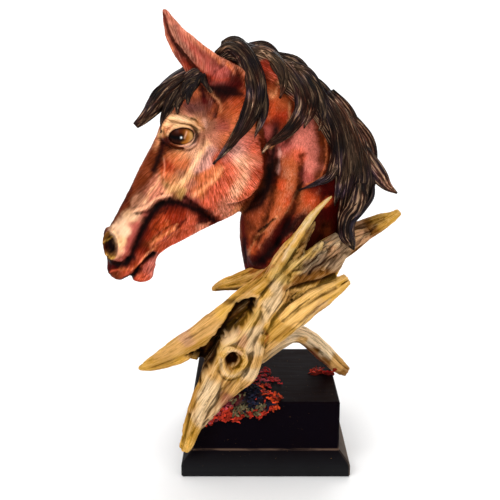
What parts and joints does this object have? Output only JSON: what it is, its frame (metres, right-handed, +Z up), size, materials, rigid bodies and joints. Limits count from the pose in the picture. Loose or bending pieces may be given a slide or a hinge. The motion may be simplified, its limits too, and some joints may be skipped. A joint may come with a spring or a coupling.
{
  "type": "horse head sculpture",
  "caption": "Painted resin horse head with flowing mane, growing out of a branching driftwood base that stands on a black stepped square plinth.",
  "frame": {"origin": "middle of the plinth's underside", "axes": "+Z up, -X towards the nose, -Y towards the side that is seen first"},
  "size_m": [0.2566, 0.1502, 0.3807],
  "materials": {
    "chestnut_coat": "cast resin, airbrushed chestnut with pink, cream and dark brown shading, satin",
    "dark_mane": "cast resin, near-black brown with tan dry-brushed strands, satin",
    "glass_eye": "painted amber iris and dark pupil under clear gloss lacquer",
    "driftwood": "cast resin painted as weathered wood, ochre with bleached ridges and brown grooves, matt",
    "leaf_litter": "cast resin leaves painted coral, red, grey-green and blue-black, matt",
    "black_plinth": "satin black lacquer, rubbed brown along its edges"
  },
  "bodies": {
    "root": {"horse_head_and_driftwood": "chestnut_coat", "plinth": "black_plinth"}
  },
  "joints": []
}
